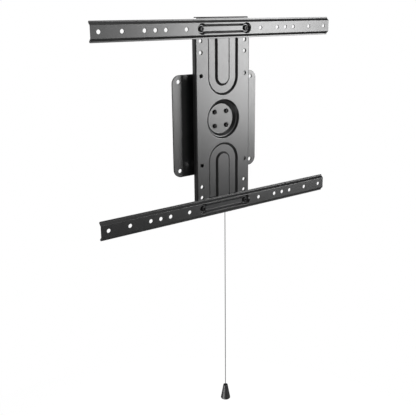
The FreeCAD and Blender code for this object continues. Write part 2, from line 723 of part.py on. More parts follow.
def guide_slots(body):
    """Two slots that let the studs pass over the whole travel."""
    slots = new_sketch(body, "slide_slots", "XZ_Plane")
    for drop in (STUD_UPPER, STUD_LOWER):
        upright_slot(slots, f"-({drop} + slide_travel)", f"-({drop})",
                     "stud_radius + running_gap")
    cut_through(body, slots)


def cord_nipple():
    """The crimped end that rests on the keyhole's ledge."""
    body = new_body("cord_nipple", "cord_offset", CORD_LINE, f"-({CORD_TOP})")
    section = new_sketch(body, "nipple_section", "XZ_Plane")
    polygon(section, [
        ("0", "0"), ("nipple_radius", "0"), ("nipple_radius", "nipple_height"),
        ("0", "nipple_height"),
    ])
    turn(body, section)
    chamfer(body, "nipple_radius / 5", lambda edge: edge.Curve.TypeId == "Part::GeomCircle")
    return body


def release_cord():
    """The cord hangs straight under the knob's weight, in one run with no bend."""
    cord = doc.addObject("Part::Cylinder", "release_cord")
    cord.Label = "release_cord"
    length = f"knob_top + knob_crown - ({CORD_TOP})"
    bind(cord, "Radius", "cord_radius")
    bind(cord, "Height", length)
    bind(cord, "Placement.Base.x", "cord_offset")
    bind(cord, "Placement.Base.y", f"-({CORD_LINE})")
    bind(cord, "Placement.Base.z", "-(knob_top + knob_crown)")
    doc.recompute()
    print(f"release_cord: one straight run of {value(length):.1f} mm, no bends")
    return cord


def cord_knot():
    body = new_body("cord_knot", "cord_offset", CORD_LINE, "-(knob_top + knob_crown)")
    section = new_sketch(body, "knot_section", "XZ_Plane")
    polygon(section, [
        ("0", "-knot_height"), ("knot_radius / 2", "-knot_height"),
        ("knot_radius", "-knot_height * 0.7"), ("knot_radius", "-knot_height * 0.3"),
        ("knot_radius / 2", "0"), ("0", "0"),
    ])
    turn(body, section)
    return body


def pull_knob():
    """A bell: a cone with bevelled edges, hollow below, with a bore for the cord."""
    body = new_body("pull_knob", "cord_offset", CORD_LINE, "-knob_top")
    slope = "(knob_bottom_radius - knob_top_radius) / knob_height"
    crown_inside = f"knob_top_radius + {slope} * knob_crown - knob_wall"
    bore = "cord_radius + running_gap"
    edge = "knob_edge"
    foot_edge = "knob_edge / 2"
    section = new_sketch(body, "knob_section", "XZ_Plane")
    polygon(section, [
        (bore, "0"), (f"knob_top_radius - {edge}", "0"),
        (f"knob_top_radius - {edge} / 3", f"-{edge} / 3"),
        (f"knob_top_radius + {slope} * {edge}", f"-{edge}"),
        (f"knob_bottom_radius - {slope} * {foot_edge}", f"-(knob_height - {foot_edge})"),
        (f"knob_bottom_radius - {foot_edge}", "-knob_height"),
        ("knob_bottom_radius - knob_wall", "-knob_height"),
        (crown_inside, "-knob_crown"), (bore, "-knob_crown"),
    ])
    turn(body, section)
    return body


def hub_flange():
    body = new_body("hub_flange", away=HUB_SEAT, height="pivot_height")
    boss_end = f"flange_thickness + {BOSS_LENGTH}"
    tip = f"{boss_end} + disc_thickness - spigot_recess"
    turned(body, "hub_profile", [
        ("hub_bore_radius", "0"), ("flange_radius", "0"), ("flange_radius", "flange_thickness"),
        ("boss_radius", "flange_thickness"), ("boss_radius", boss_end),
        ("spigot_radius", boss_end), ("spigot_radius", tip), ("hub_bore_radius", tip),
    ])
    holes = new_sketch(body, "hub_screw_holes", "XZ_Plane", ("0", "0", boss_end))
    four_hub_circles(holes)
    depth = "hub_screw_length - face_sheet - disc_thickness + running_gap"
    pocket(body, holes, depth)
    return body


def four_hub_circles(sketch):
    for x in ("-hub_screw_offset", "hub_screw_offset"):
        for y in ("-hub_screw_offset", "hub_screw_offset"):
            circle(sketch, x, y, "2 * (hub_screw_radius + fit_gap)")


def turn_disc():
    """The lock's disc: two notches a quarter turn apart and the stop pin's slot."""
    body = new_body("turn_disc", away=DISC_SEAT, height="pivot_height")
    blank = new_sketch(body, "disc_blank", "XZ_Plane")
    circle(blank, "0", "0", "2 * disc_radius")
    pad(body, blank, "disc_thickness")
    openings = new_sketch(body, "disc_openings", "XZ_Plane")
    circle(openings, "0", "0", "2 * (spigot_radius + fit_gap)")
    four_hub_circles(openings)
    quarter_slot(openings, "stop_circle", "(stop_radius + running_gap)")
    cut_through(body, openings)
    notches = new_sketch(body, "disc_notches", "XZ_Plane")
    half = "(tongue_half_width + tongue_side_gap)"
    floor = f"({NOTCH_FLOOR})"
    rectangle(notches, f"-{half}", "-(disc_radius + 1)", half, f"-{floor}")
    rectangle(notches, floor, f"-{half}", "disc_radius + 1", half)
    cut_through(body, notches)
    return body


def domed_screws(label, seat, head, head_height, shank, length, socket, shift):
    """Start a body with one button-head screw and its hexagon socket."""
    body = new_body(label, away=seat, height="pivot_height")
    screw = turned(body, f"{label}_profile", [
        ("0", f"-{length}"), (shank, f"-{length}"), (shank, "0"), (head, "0"),
        (head, f"{head_height} * 0.35"), (f"{head} * 0.62", head_height), ("0", head_height),
    ], shift)
    x, _, up = shift
    socket_sketch = new_sketch(body, f"{label}_socket", "XZ_Plane", (x, up, head_height))
    hexagon(socket_sketch, socket)
    return body, [screw, pocket(body, socket_sketch, "socket_depth")]


def hub_screws():
    body, features = domed_screws(
        "hub_screws", DISH_FLOOR, "hub_head_radius", "hub_head_height", "hub_screw_radius",
        "hub_screw_length", "hub_socket", ("hub_screw_offset", "0", "hub_screw_offset"))
    repeat_round(body, features, "4", grows=True)
    return body


def face_plate():
    """The stamped front: sketches lie on its front face and depths go towards the wall."""
    body = new_body("face_plate", away=FACE_FRONT, height="pivot_height")
    pressed_pan(body)
    pressed_dish(body)
    pressed_beads(body)
    holes = new_sketch(body, "face_holes", "XZ_Plane")
    for row in ("rail_spacing", "upper_row", "middle_row", "inner_row"):
        for x in ("-rail_bolt_spacing / 2", "rail_bolt_spacing / 2"):
            for y in (f"-{row} / 2", f"{row} / 2"):
                circle(holes, x, y, "face_hole")
    four_hub_circles(holes)
    cut_through(body, holes)
    return body


def pressed_pan(body):
    """A flat sheet with its four sides folded back and the corners relieved."""
    half = "face_width / 2"
    inner = f"{half} - face_corner_notch"
    outline = new_sketch(body, "face_outline", "XZ_Plane")
    notch_top = "face_top - face_corner_notch"
    notch_bottom = "-(face_bottom - face_corner_notch)"
    polygon(outline, [
        (f"-({half})", notch_bottom), (f"-({inner})", notch_bottom),
        (f"-({inner})", "-face_bottom"), (inner, "-face_bottom"),
        (inner, notch_bottom), (half, notch_bottom), (half, notch_top), (inner, notch_top),
        (inner, "face_top"), (f"-({inner})", "face_top"),
        (f"-({inner})", notch_top), (f"-({half})", notch_top),
    ])
    pad(body, outline, "face_flange", towards_wall=True)
    fillet(body, "face_bend", lambda edge: close_to(edge.CenterOfMass.y, "0")
           and (close_to(abs(edge.CenterOfMass.x), half)
                or close_to(edge.CenterOfMass.z, "face_top")
                or close_to(edge.CenterOfMass.z, "-face_bottom")))
    hollow = new_sketch(body, "face_hollow", "XZ_Plane", ("0", "0", "-face_flange"))
    rectangle(hollow, f"-({half} - face_sheet)", "-(face_bottom - face_sheet)",
              f"{half} - face_sheet", "face_top - face_sheet")
    pocket(body, hollow, "face_flange - face_sheet", away_from_wall=True)


def pressed_dish(body):
    """The stepped dish in the middle, with the same sheet thickness all round."""
    ledge = "dish_step_radius - dish_step_width"
    ledge_depth = "dish_step_depth + dish_step_drop"
    side = "face_sheet * 0.85"
    turned(body, "dish_back", [
        ("0", "-face_sheet"), (f"dish_radius + {side}", "-face_sheet"),
        (f"dish_step_radius + {side}", "-(dish_step_depth + face_sheet / 2)"),
        (f"{ledge} + {side}", f"-({ledge_depth} + face_sheet * 0.7)"),
        ("dish_floor_radius + face_sheet * 0.43", "-(dish_depth + face_sheet)"),
        ("0", "-(dish_depth + face_sheet)"),
    ])
    turned(body, "dish_front", [
        ("0", "0"), ("dish_radius", "0"), ("dish_step_radius", "-dish_step_depth"),
        (ledge, f"-({ledge_depth})"), ("dish_floor_radius", "-dish_depth"), ("0", "-dish_depth"),
    ], cut=True)
    fillet(body, "dish_lip", lambda edge: is_circle(edge, "0") and has_radius(edge, "dish_radius"))


def pressed_beads(body):
    """An arch-shaped bead with a flat raised inside it, above and below the dish."""
    shift = far_side_shift("face_sheet", "bead_depth", "bead_slope")
    floor_half = "bead_half_width - bead_slope"
    foot_half = "island_half_width + bead_slope"
    near = "0"
    far = "bead_depth"
    steps = (
        ("bead_back", False, ("bead_half_width", near), (floor_half, far), shift, "face_sheet"),
        ("bead_front", True, ("bead_half_width", near), (floor_half, far), "0", "0"),
        ("island_front", False, (foot_half, far), ("island_half_width", near), "0", "0"),
        ("island_back", True, (foot_half, far), ("island_half_width", near), f"-({shift})", "face_sheet"),
    )
    features = []
    for name, cut, first, second, growth, back in steps:
        sections = []
        for number, (half_width, depth) in enumerate((first, second), start=1):
            sketch = new_sketch(body, f"{name}_{number}", "XZ_Plane",
                                ("0", "0", f"-({depth} + {back})"))
            grown = f"{half_width} + {growth}"
            far_end = f"bead_end - (bead_half_width - ({grown}))"
            arch(sketch, grown, "bead_arc_height", far_end)
            sections.append(sketch)
        features.append(loft(body, *sections, cut=cut))
    mirror(body, features, "XY_Plane", grows=True)


def rail(label, height):
    """A folded rail; its seat is the face plate and its front carries the television."""
    body = new_body(label, away=FACE_FRONT, height=f"pivot_height + {height}")
    wall_depth = "rail_depth - rail_sheet"
    shift = far_side_shift("rail_sheet", wall_depth, "rail_wall_run")
    bend = "rail_web / 2 + rail_wall_run"
    upper = [
        ("-rail_depth", "rail_web / 2"), ("-rail_sheet", bend),
        ("-rail_sheet", f"{bend} + rail_lip"), ("0", f"{bend} + rail_lip"),
        ("0", f"{bend} - ({shift})"), (f"-({wall_depth})", f"rail_web / 2 - ({shift})"),
    ]
    lower = [(away, f"-({up})") for away, up in reversed(upper)]
    section = new_sketch(body, f"{label}_section", "YZ_Plane")
    polygon(section, upper + lower)
    pad(body, section, "rail_length", both_ways=True)
    fillet(body, "rail_edge", lambda edge: runs_along(edge, ALONG_X)
           and (close_to(edge.CenterOfMass.y, "-rail_depth")
                or (close_to(edge.CenterOfMass.y, "-rail_sheet")
                    and close_to(abs(edge.CenterOfMass.z), bend))))
    chamfer(body, "rail_lip_chamfer", lambda edge: runs_along(edge, ALONG_Y)
            and close_to(abs(edge.CenterOfMass.z), f"{bend} + rail_lip"))
    rail_recess(body, label)
    spacings = ("pattern_a", "pattern_b", "pattern_c", "pattern_d", "pattern_e", "pattern_f")
    for spacing in spacings + ("rail_bolt_spacing",):
        diameter = "face_hole" if spacing == "rail_bolt_spacing" else "rail_hole"
        holes = new_sketch(body, f"{label}_{spacing}_holes", "XZ_Plane")
        for side in ("-", ""):
            circle(holes, f"{side}{spacing} / 2", "0", diameter)
        cut_through(body, holes)
    return body


def rail_recess(body, label):
    """Two round pockets joined by a channel, pressed back onto the face plate."""
    depth = "(rail_depth - rail_sheet)"
    round_shift = far_side_shift("rail_sheet", depth, "pocket_slope")
    channel_shift = far_side_shift("rail_sheet", depth, "channel_slope")
    bolt_x = "rail_bolt_spacing / 2"
    features = []
    for cut, back, round_growth, channel_growth in (
            (False, "rail_sheet", round_shift, channel_shift), (True, "0", "0", "0")):
        side = "front" if cut else "back"
        top = f"rail_depth - {back}"
        floor = f"rail_depth - {depth} - {back}"
        sections = []
        for number, (level, slope) in enumerate(((top, "0"), (floor, "channel_slope")), start=1):
            sketch = new_sketch(body, f"{label}_channel_{side}_{number}", "XZ_Plane",
                                ("0", "0", level))
            half = f"(channel_half_width - {slope} + {channel_growth})"
            rectangle(sketch, f"-{bolt_x}", f"-{half}", bolt_x, half)
            sections.append(sketch)
        features.append(loft(body, *sections, cut=cut))
        rim = f"pocket_radius + {round_growth}"
        cone = turned(body, f"{label}_pocket_{side}", [
            ("0", floor), (f"{rim} - pocket_slope", floor), (rim, top), ("0", top),
        ], (bolt_x, "0", "0"), cut=cut)
        mirror(body, [cone], "YZ_Plane", grows=not cut)


def rail_bolts(label, height):
    """Two button-head bolts that seat in a rail's pockets."""
    seat = f"{FACE_FRONT} + rail_sheet"
    body, features = domed_screws(
        label, seat, "bolt_head_radius", "bolt_head_height", "rail_bolt_radius",
        "rail_bolt_length", "bolt_socket", ("rail_bolt_spacing / 2", "0", height))
    mirror(body, features, "YZ_Plane", grows=True)
    return body


def rail_nuts(label, height):
    """Two hexagon nuts behind the face plate."""
    seat = f"{FACE_FRONT} - face_sheet"
    body = new_body(label, away=seat, height=f"pivot_height + {height}")
    shift = ("rail_bolt_spacing / 2", "0", "0")
    outline = new_sketch(body, f"{label}_outline", "XZ_Plane", shift)
    hexagon(outline, "nut_flats")
    circle(outline, "0", "0", "2 * (rail_bolt_radius + fit_gap)")
    nut = pad(body, outline, "nut_height", towards_wall=True)
    mirror(body, [nut], "YZ_Plane", grows=True)
    return body


def latch_spring():
    """A coiled tension spring with a loop round the pin and a hook in the slide."""
    wire = value("spring_wire")
    coil = value("spring_radius")
    pitch = value("spring_pitch")
    pin_loop = value("anchor_radius + fit_gap + spring_wire")
    hook_loop = value("hook_loop")
    anchor = -value(ANCHOR_DROP)
    hook = -value(HOOK_DROP)
    top = anchor - pin_loop
    bottom = hook + hook_loop
    lead = 3 * wire + coil
    turns = math.floor((top - bottom - 2 * lead) / pitch)
    low = (top + bottom - turns * pitch) / 2
    coils = coil_solid(coil, wire, pitch, turns, low)
    pieces = [
        arm(wire, coil, low), arm(wire, coil, low + turns * pitch),
        stem(wire, bottom, low), stem(wire, low + turns * pitch, top),
        loop(pin_loop, wire, anchor, ALONG_Y),
        loop(hook_loop, wire, hook, ALONG_X),
    ]
    spring = doc.addObject("Part::Feature", "latch_spring")
    spring.Label = "latch_spring"
    spring.Shape = coils.fuse(pieces).removeSplitter()
    place = Vector(-value("spring_offset"), -value(CORD_LINE), value("pivot_height"))
    spring.Placement = Placement(place, Rotation())
    doc.recompute()
    return spring


def coil_solid(radius, wire, pitch, turns, low):
    """Sweep the wire's square section along a helix."""
    path = Part.makeHelix(pitch, pitch * turns, radius)
    section = Part.makePolygon([
        Vector(radius - wire, 0, -wire), Vector(radius + wire, 0, -wire),
        Vector(radius + wire, 0, wire), Vector(radius - wire, 0, wire),
        Vector(radius - wire, 0, -wire),
    ])
    solid = Part.Wire(path.Edges).makePipeShell([section], True, True)
    solid.translate(Vector(0, 0, low))
    return solid


def arm(wire, radius, height):
    return Part.makeBox(radius, 2 * wire, 2 * wire, Vector(0, -wire, height - wire))


def stem(wire, low, high):
    return Part.makeBox(2 * wire, 2 * wire, high - low, Vector(-wire, -wire, low))


def loop(radius, wire, height, axis):
    """A ring of the same wire round an axis through the spring's middle line."""
    base = Vector(0, 0, height) - axis * wire
    rim = Part.makeCylinder(radius + wire, 2 * wire, base, axis)
    return rim.cut(Part.makeCylinder(radius - wire, 2 * wire, base, axis))


def check_document():
    """Stop if any object of the document failed."""
    for item in doc.Objects:
        if "Invalid" in item.State or "Error" in item.State:
            raise RuntimeError(f"{item.Name} did not recompute")


def write_steps(sub_parts):
    for item in sub_parts:
        if item.Shape.isNull() or not item.Shape.isValid():
            raise RuntimeError(f"{item.Label} has no valid shape")
    os.makedirs("parts", exist_ok=True)
    for item in sub_parts:
        item.Shape.exportStep(f"parts/{item.Label}.step")


def main():
    half = "rail_spacing / 2"
    sub_parts = [
        wall_plate(),
        pivot_base_ring(),
        rear_bearing_washer(),
        front_bearing_washer(),
        retaining_ring(),
        retaining_ring_screws(),
        rotation_stop_pin(),
        latch_bracket(),
        latch_bracket_rivets(),
        latch_guide_studs(),
        spring_anchor_pin(),
        latch_spring(),
        latch_slide(),
        cord_nipple(),
        release_cord(),
        cord_knot(),
        pull_knob(),
        face_plate(),
        turn_disc(),
        hub_flange(),
        hub_screws(),
        rail("upper_rail", half),
        rail("lower_rail", f"-{half}"),
        rail_bolts("upper_rail_bolts", half),
        rail_bolts("lower_rail_bolts", f"-{half}"),
        rail_nuts("upper_rail_nuts", half),
        rail_nuts("lower_rail_nuts", f"-{half}"),
    ]
    doc.recompute()
    check_document()
    write_steps(sub_parts)


main()
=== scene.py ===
import json
import math

import bmesh
import bpy
from mathutils import Euler, Matrix, Vector


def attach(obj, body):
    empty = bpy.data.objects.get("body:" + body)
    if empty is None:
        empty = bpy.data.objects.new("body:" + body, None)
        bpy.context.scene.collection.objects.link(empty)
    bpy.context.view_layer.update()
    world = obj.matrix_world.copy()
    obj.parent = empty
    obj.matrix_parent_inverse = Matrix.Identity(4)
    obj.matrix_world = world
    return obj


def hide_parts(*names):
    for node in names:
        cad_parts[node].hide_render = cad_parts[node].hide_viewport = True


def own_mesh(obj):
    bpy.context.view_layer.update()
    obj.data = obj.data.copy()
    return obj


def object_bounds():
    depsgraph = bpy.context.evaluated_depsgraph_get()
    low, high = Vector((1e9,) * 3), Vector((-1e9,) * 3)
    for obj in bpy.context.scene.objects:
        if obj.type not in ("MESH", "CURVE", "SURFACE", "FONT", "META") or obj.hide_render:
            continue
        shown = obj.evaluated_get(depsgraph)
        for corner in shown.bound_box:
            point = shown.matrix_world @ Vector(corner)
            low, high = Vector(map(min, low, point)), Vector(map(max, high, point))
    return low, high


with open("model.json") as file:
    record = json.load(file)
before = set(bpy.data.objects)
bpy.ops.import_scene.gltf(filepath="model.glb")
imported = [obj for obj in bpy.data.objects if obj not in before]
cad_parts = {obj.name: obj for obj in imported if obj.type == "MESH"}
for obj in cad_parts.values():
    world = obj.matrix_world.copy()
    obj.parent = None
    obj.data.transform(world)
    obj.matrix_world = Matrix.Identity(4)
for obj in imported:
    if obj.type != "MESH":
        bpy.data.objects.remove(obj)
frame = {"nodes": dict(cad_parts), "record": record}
nodes = frame["nodes"]
cad_low, cad_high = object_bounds()

# Lengths are in metres and angles in degrees.
# The camera stands left of the mount, a little above its middle, and looks right and down.
PHOTO_SIZE = 416
SENSOR_WIDTH = 36
FOCAL_PIXELS = 611.8
PRINCIPAL_ROW = 165
CAMERA_PLACE = (-0.8152, -1.1305, 0.2434)
CAMERA_YAW = 35.07
CAMERA_PITCH = 13.89
CAMERA_ROLL = -0.58

# The cord's straight run, as in the part: from the crimped end down to the knot.
CORD_TOP = (0.016, -0.01485, -0.1037)
CORD_END = (0.016, -0.01485, -0.6880)
CORD_DIAMETER = 0.0018
CORD_STRAIGHT = 6 * CORD_DIAMETER

# Directions, and the height of the turning axis.
FROM_WALL = Vector((0, -1, 0))
UP = Vector((0, 0, 1))
AXIS_HEIGHT = 0.012

# Points round an axis, and the angle from which an edge is shaded sharp.
RING_STEPS = 48
SHARP_ANGLE = 40

# Screws and bolts: radii of head and shank, lengths, and the socket's width and depth.
HUB_SCREW = dict(head=0.0055, height=0.0038, shank=0.003, length=0.0115, flats=0.004, depth=0.0018)
RAIL_BOLT = dict(head=0.00675, height=0.0036, shank=0.004, length=0.012, flats=0.005, depth=0.0018)
RAIL_NUT = dict(flats=0.013, bore=0.0041, height=0.0065)

# A head's dome: its foot and its full rise as shares of the head's height, and how far it goes
# round. The socket opens in a round chamfer, whose rim is wider than its flats by a factor.
DOME_FOOT = 0.2
DOME_RISE = 0.989
DOME_ANGLE = 54
DOME_STEPS = 8
SOCKET_RIM = 1.18
SOCKET_CHAMFER = 0.0002

# A nut's corners, as shares of its width over flats: their reach, and how much is turned off.
NUT_CORNER = 0.578
NUT_FACE = 0.49
NUT_TURNED = 0.06

# Where these sit: the y of what each is tightened on, and distances from the turning axis.
DISH_FLOOR = -0.0206
RAIL_BOLT_SEAT = -0.034
SHEET_BACK = -0.03
HUB_SCREW_OFFSET = 0.016
BOLT_COLUMNS = (-0.06, 0.06)
RAIL_OFFSETS = {"upper_rail": 0.2, "lower_rail": -0.2}
FREE_HOLE_OFFSETS = (-0.175, -0.15, -0.1, 0.1, 0.15, 0.175)

# The tension spring: a loop round the bracket's pin, the coil, and a hook in the slide.
# At both ends the coil closes in to the middle over a part of a turn.
SPRING_MIDDLE = Vector((-0.016, -0.01485, 0))
PIN_HEIGHT = -0.056
PIN_LOOP = 0.0018
HOOK_HEIGHT = -0.097
HOOK_LOOP = 0.0023
LOOP_GAP = 0.0012
LOOP_STEPS = 24
COIL_RADIUS = 0.0019
COIL_TURNS = 21
COIL_STEPS = 16
CLOSING_TURNS = 0.4
WIRE_RADIUS = 0.00035

# The knot at the cord's end, and the bell-shaped knob, as (distance down, radius).
KNOT_HEIGHT = -0.6902
KNOT_REACH = 0.0017
KNOT_RISE = 0.0013
KNOT_STEPS = 72
KNOB_TOP = -0.681
KNOB_PROFILE = [
    (0.0002, 0.0012), (0, 0.0014), (0, 0.0046), (0.0001, 0.0050), (0.0003, 0.0053),
    (0.0007, 0.00557), (0.0012, 0.00573), (0.0120, 0.00756), (0.0250, 0.00990),
    (0.0360, 0.01188), (0.0366, 0.0120), (0.0369, 0.0119), (0.0370, 0.0117),
    (0.0370, 0.0104), (0.0368, 0.0101), (0.0364, 0.00995),
    (0.0080, 0.0047), (0.0072, 0.0042), (0.0070, 0.0038), (0.0070, 0.0014), (0.0068, 0.0012),
]

# The metal drawn back round a screw hole, rounded where it ends, as (distance back, radius).
COLLAR_PROFILE = [
    (-0.0006, 0.0044), (-0.0006, 0.0060), (0, 0.0064), (0.0018, 0.0062),
    (0.0024, 0.0058), (0.0026, 0.0052), (0.0026, 0.0048), (0.0023, 0.0044),
]

# Lamps, with azimuths to the right of straight ahead of the mount.
# The key lamp is the tall one that the plate mirrors, and the low one stands beside the knob.
MOUNT = (0, 0, 0)
KEY = dict(azimuth=41.2, elevation=5.7, distance=2.4, width=0.75, height=1.32, power=46)
FRONT = dict(azimuth=6, elevation=2, distance=2.4, width=0.9, height=1.3, power=5)
LOW = dict(azimuth=-85, elevation=-14, distance=0.7, width=0.5, height=0.5, power=4.5)

# World strengths, and the spans of a direction's y or z over which they come and go.
WORLD_LIGHT = 0.35
STUDIO_DARK = 0.05
CEILING_GLOW = 0.7
CEILING_SPAN = (0.7, 0.98)
BACK_GLOW = 0.5
BACK_SPAN = (-0.2, 0.35)
BACK_CENTRE_SPAN = (0.88, 1)
HORIZON_SPAN = (0.05, 0.35)

# The floor is a disc, this far below the knob and behind the mount's middle.
FLOOR_RADIUS = 1.5
FLOOR_DROP = 0.9
FLOOR_BACK = 0.2
FLOOR_COLOUR = 0.3
FLOOR_ROUGHNESS = 0.9
FLOOR_WHITE = 0.85


def add_to_scene(name, data):
    thing = bpy.data.objects.new(name, data)
    bpy.context.scene.collection.objects.link(thing)
    return thing


def add_camera():
    data = bpy.data.cameras.new("photo_camera")
    data.sensor_width = SENSOR_WIDTH
    data.lens = FOCAL_PIXELS / PHOTO_SIZE * SENSOR_WIDTH
    data.shift_y = (PRINCIPAL_ROW - PHOTO_SIZE / 2) / PHOTO_SIZE
    data.clip_start = 0.05
    data.clip_end = 30
    camera = add_to_scene("photo_camera", data)
    camera.location = CAMERA_PLACE
    turn = Euler((math.radians(90 - CAMERA_PITCH), 0, math.radians(-CAMERA_YAW))).to_matrix()
    roll = Matrix.Rotation(math.radians(CAMERA_ROLL), 3, "Z")
    camera.rotation_euler = (turn @ roll).to_euler()
    bpy.context.scene.camera = camera


def add_cord():
    """The cord hangs straight under the knob's weight."""
    top, end = Vector(CORD_TOP), Vector(CORD_END)
    straight = UP * CORD_STRAIGHT
    points = [top, top - straight, end + straight, end]
    data = bpy.data.curves.new("cord", "CURVE")
    data.dimensions = "3D"
    data.bevel_depth = 1
    data.bevel_resolution = 6
    data.resolution_u = 24
    data.use_fill_caps = True
    spline = data.splines.new("NURBS")
    spline.points.add(len(points) - 1)
    for target, point in zip(spline.points, points):
        target.co = (*point, 1)
        # The bevel is 1 m, so a point's radius is the cord's own.
        target.radius = CORD_DIAMETER / 2
    spline.order_u = 3
    spline.use_endpoint_u = True
    cord = add_to_scene("cord", data)
    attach(cord, "latch")
    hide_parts("release_cord")
    return cord


add_camera()
cord = add_cord()


class Shader:
    """A Principled material under construction."""

    def __init__(self, name, colour, roughness, metallic=0.0, specular=0.5):
        self.material = bpy.data.materials.new(name)
        self.material.use_nodes = True
        self.tree = self.material.node_tree
        self.surface = self.tree.nodes["Principled BSDF"]
        self.surface.inputs["Base Color"].default_value = (*colour, 1)
        self.surface.inputs["Roughness"].default_value = roughness
        self.surface.inputs["Metallic"].default_value = metallic
        self.surface.inputs["Specular IOR Level"].default_value = specular
        self.place = self.add("ShaderNodeTexCoord").outputs["Object"]

    def add(self, kind, **settings):
        node = self.tree.nodes.new(kind)
        for key, value in settings.items():
            setattr(node, key, value)
        return node

    def link(self, source, target):
        self.tree.links.new(source, target)

    def noise(self, scale, detail=2.0, stretch=(1, 1, 1)):
        """A noise pattern with so many cells to the metre."""
        mapping = self.add("ShaderNodeMapping")
        mapping.inputs["Scale"].default_value = stretch
        self.link(self.place, mapping.inputs["Vector"])
        pattern = self.add("ShaderNodeTexNoise")
        pattern.inputs["Scale"].default_value = scale
        pattern.inputs["Detail"].default_value = detail
        self.link(mapping.outputs["Vector"], pattern.inputs["Vector"])
        return pattern.outputs["Fac"]

    def spread(self, pattern, low, high):
        """Turn a noise pattern, which stays near 0.3 to 0.7, into a range."""
        ranged = self.add("ShaderNodeMapRange")
        ranged.inputs["From Min"].default_value = 0.3
        ranged.inputs["From Max"].default_value = 0.7
        ranged.inputs["To Min"].default_value = low
        ranged.inputs["To Max"].default_value = high
        self.link(pattern, ranged.inputs["Value"])
        return ranged.outputs["Result"]

    def tint(self, pattern, dark, light):
        """Colour the surface between two colours by a pattern."""
        mix = self.add("ShaderNodeMix", data_type="RGBA")
        for socket in mix.inputs:
            if socket.name == "A" and socket.type == "RGBA":
                socket.default_value = (*dark, 1)
            if socket.name == "B" and socket.type == "RGBA":
                socket.default_value = (*light, 1)
        self.link(self.spread(pattern, 0.0, 1.0), mix.inputs["Factor"])
        colour = next(s for s in mix.outputs if s.type == "RGBA")
        self.link(colour, self.surface.inputs["Base Color"])

    def vary_roughness(self, pattern, low, high):
        self.link(self.spread(pattern, low, high), self.surface.inputs["Roughness"])

    def bump(self, pattern, height, strength, edge=0.0):
        """Bump a pattern of a height in metres, over edges rounded to a radius."""
        bump = self.add("ShaderNodeBump")
        bump.inputs["Distance"].default_value = height
        bump.inputs["Strength"].default_value = strength
        self.link(pattern, bump.inputs["Height"])
        if edge:
            rounded = self.add("ShaderNodeBevel", samples=24)
            rounded.inputs["Radius"].default_value = edge
            self.link(rounded.outputs["Normal"], bump.inputs["Normal"])
        self.link(bump.outputs["Normal"], self.surface.inputs["Normal"])


def powder_coat():
    """Satin black powder coat with a faint grain."""
    shader = Shader("powder_coat", (0.009, 0.0092, 0.0095), 0.34, specular=0.9)
    shader.tint(shader.noise(60, 3), (0.007, 0.0072, 0.0075), (0.011, 0.0112, 0.0116))
    shader.vary_roughness(shader.noise(110, 4), 0.33, 0.35)
    shader.bump(shader.noise(420, 2), 0.00003, 0.03, edge=0.0008)
    return shader.material


def zinc():
    """Clouded zinc plating."""
    shader = Shader("zinc_plate", (0.42, 0.425, 0.42), 0.46, metallic=1.0)
    shader.tint(shader.noise(140, 4), (0.37, 0.375, 0.37), (0.47, 0.47, 0.46))
    shader.vary_roughness(shader.noise(300, 5), 0.40, 0.52)
    shader.bump(shader.noise(900, 3, (1, 1, 0.15)), 0.00002, 0.2)
    return shader.material


def black_oxide():
    shader = Shader("black_oxide", (0.008, 0.008, 0.0085), 0.28, specular=0.25)
    shader.tint(shader.noise(300, 3), (0.006, 0.006, 0.0065), (0.011, 0.011, 0.0115))
    shader.vary_roughness(shader.noise(500, 3), 0.25, 0.36)
    shader.bump(shader.noise(1800, 2), 0.00001, 0.2)
    return shader.material


def spring_steel():
    shader = Shader("spring_steel", (0.42, 0.42, 0.43), 0.28, metallic=1.0)
    shader.tint(shader.noise(500, 3), (0.36, 0.36, 0.37), (0.48, 0.48, 0.48))
    shader.bump(shader.noise(2500, 2), 0.00001, 0.15)
    return shader.material


def nylon():
    shader = Shader("nylon", (0.72, 0.71, 0.66), 0.5)
    shader.tint(shader.noise(80, 3), (0.68, 0.67, 0.62), (0.76, 0.75, 0.70))
    shader.bump(shader.noise(1200, 2), 0.00002, 0.2)
    return shader.material


def braid():
    """Fine dark grey braid."""
    shader = Shader("braid", (0.035, 0.036, 0.037), 0.75, specular=0.3)
    shader.tint(shader.noise(1500, 3), (0.022, 0.0225, 0.023), (0.05, 0.051, 0.052))
    shader.bump(shader.noise(2200, 2, (1, 1, 0.5)), 0.0001, 0.6)
    return shader.material


def knob_plastic():
    shader = Shader("knob_plastic", (0.012, 0.012, 0.013), 0.46, specular=0.7)
    shader.tint(shader.noise(90, 3), (0.010, 0.010, 0.011), (0.015, 0.015, 0.016))
    shader.vary_roughness(shader.noise(700, 3), 0.42, 0.50)
    shader.bump(shader.noise(2600, 2), 0.00002, 0.3)
    return shader.material


FINISHES = {
    "powder_coat": powder_coat(),
    "zinc_steel": zinc(),
    "black_steel": black_oxide(),
    "spring_steel": spring_steel(),
    "washer_nylon": nylon(),
    "braided_cord": braid(),
    "knob_plastic": knob_plastic(),
}


def finish_piece(piece, slot):
    """Give a piece the finish of one of the record's material slots."""
    piece.data.materials.clear()
    piece.data.materials.append(FINISHES[slot])


for subpart in frame["record"]["subparts"]:
    finish_piece(nodes[subpart["node"]], subpart["material_slot"])
finish_piece(cord, "braided_cord")


def ring(centre, along, distance, radius, flats=None):
    """A ring of points round an axis; with flats it is a hexagon trimmed to the radius."""
    side = Vector((1, 0, 0))
    other = along.cross(side)
    points = []
    for step in range(RING_STEPS):
        angle = step * math.tau / RING_STEPS
        reach = radius
        if flats:
            from_flat = angle % (math.pi / 3) - math.pi / 6
            reach = min(radius, flats / 2 / math.cos(from_flat))
        spoke = side * math.cos(angle) + other * math.sin(angle)
        points.append(centre + along * distance + spoke * reach)
    return points


def rings(centre, along, profile):
    """Rings for a profile of (distance, radius) or (distance, radius, flats)."""
    return [ring(centre, along, *place) for place in profile]


